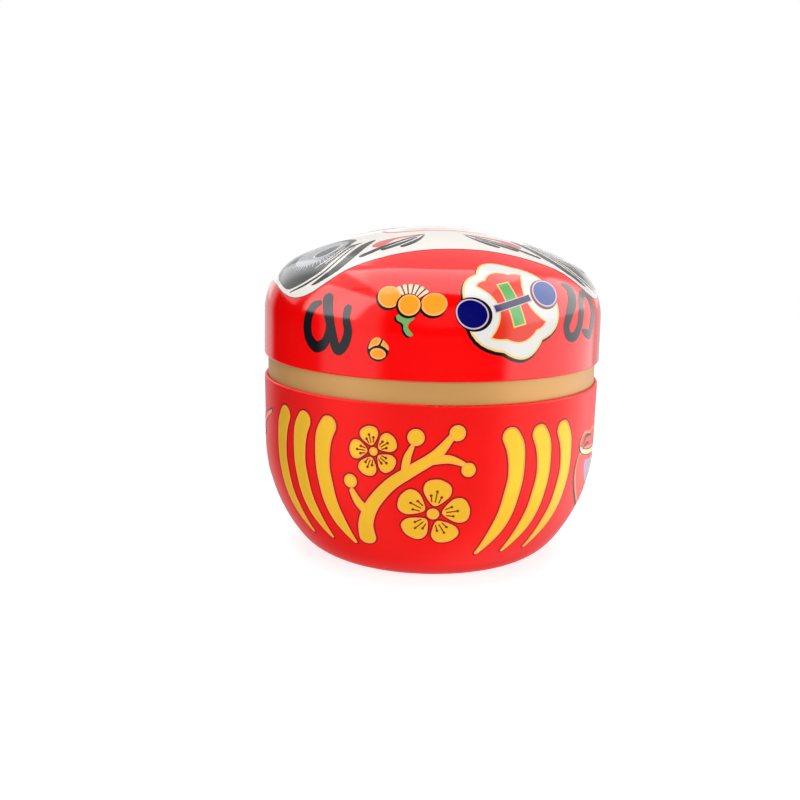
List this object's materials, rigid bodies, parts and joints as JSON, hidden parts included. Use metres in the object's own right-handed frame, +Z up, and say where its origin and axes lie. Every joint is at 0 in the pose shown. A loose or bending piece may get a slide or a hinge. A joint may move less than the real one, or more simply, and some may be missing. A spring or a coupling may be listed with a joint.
{
  "type": "tea tin",
  "caption": "Round tinplate tea caddy: bowl-shaped body, gold neck band, knobbed inner lid and domed slip-on lid, decorated in the manner of a daruma.",
  "frame": {"origin": "centre of the base, on the surface the tin stands on", "axes": "+Z up along the tin's axis of revolution; the painted front faces -Y, +X is to the viewer's right"},
  "size_m": [0.086, 0.086, 0.084],
  "materials": {
    "body_lacquer": "satin red lacquer with a gold and coloured print",
    "lid_lacquer": "gloss red lacquer with a coloured print",
    "gold_lacquer": "satin gold lacquer on tinplate",
    "knob_lacquer": "gloss gold lacquer",
    "rivet_metal": "plain"
  },
  "bodies": {
    "tin_body": {"body_shell": "body_lacquer", "neck_ring": "gold_lacquer"},
    "inner_lid": {"inner_lid_plate": "gold_lacquer", "inner_lid_knob": "knob_lacquer", "inner_lid_rivet": "rivet_metal"},
    "outer_lid": {"lid_shell": "lid_lacquer"}
  },
  "joints": [
    {"name": "inner_lid_lift", "type": "slide", "parent": "tin_body", "child": "inner_lid", "axis": [0, 0, 1], "range_m": [0, 0.025]},
    {"name": "outer_lid_lift", "type": "slide", "parent": "inner_lid", "child": "outer_lid", "axis": [0, 0, 1], "range_m": [0, 0.05]}
  ]
}
